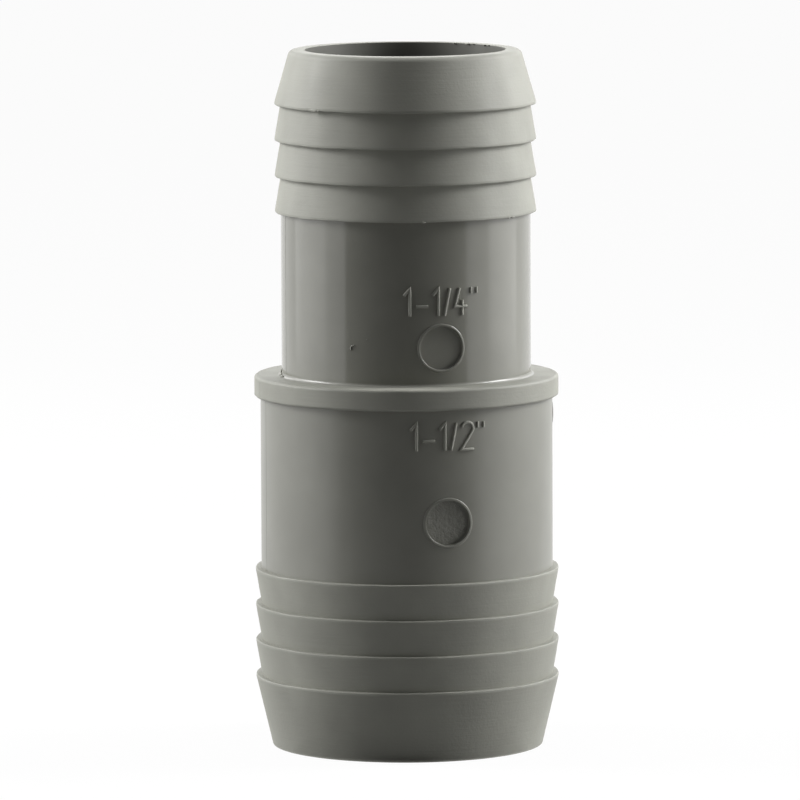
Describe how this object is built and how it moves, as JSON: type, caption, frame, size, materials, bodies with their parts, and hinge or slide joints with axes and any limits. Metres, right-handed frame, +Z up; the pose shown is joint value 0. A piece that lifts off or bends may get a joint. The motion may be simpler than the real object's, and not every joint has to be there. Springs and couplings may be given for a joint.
{
  "type": "hose barb reducer",
  "caption": "Straight moulded hose barb reducer: a larger and a smaller barbed shank on either side of a stop flange, with a through bore that narrows between them.",
  "frame": {"origin": "middle of the large end face, on the bore axis", "axes": "+Z up the bore from the large end to the small end; -Y is the front, and the mark discs lie 16.2 degrees round from it towards +X"},
  "size_m": [0.0428, 0.0428, 0.0982],
  "materials": {
    "grey_pvc": "satin moulded grey PVC, with the plain shanks polished"
  },
  "bodies": {
    "root": {"reducer_body": "grey_pvc"}
  },
  "joints": []
}
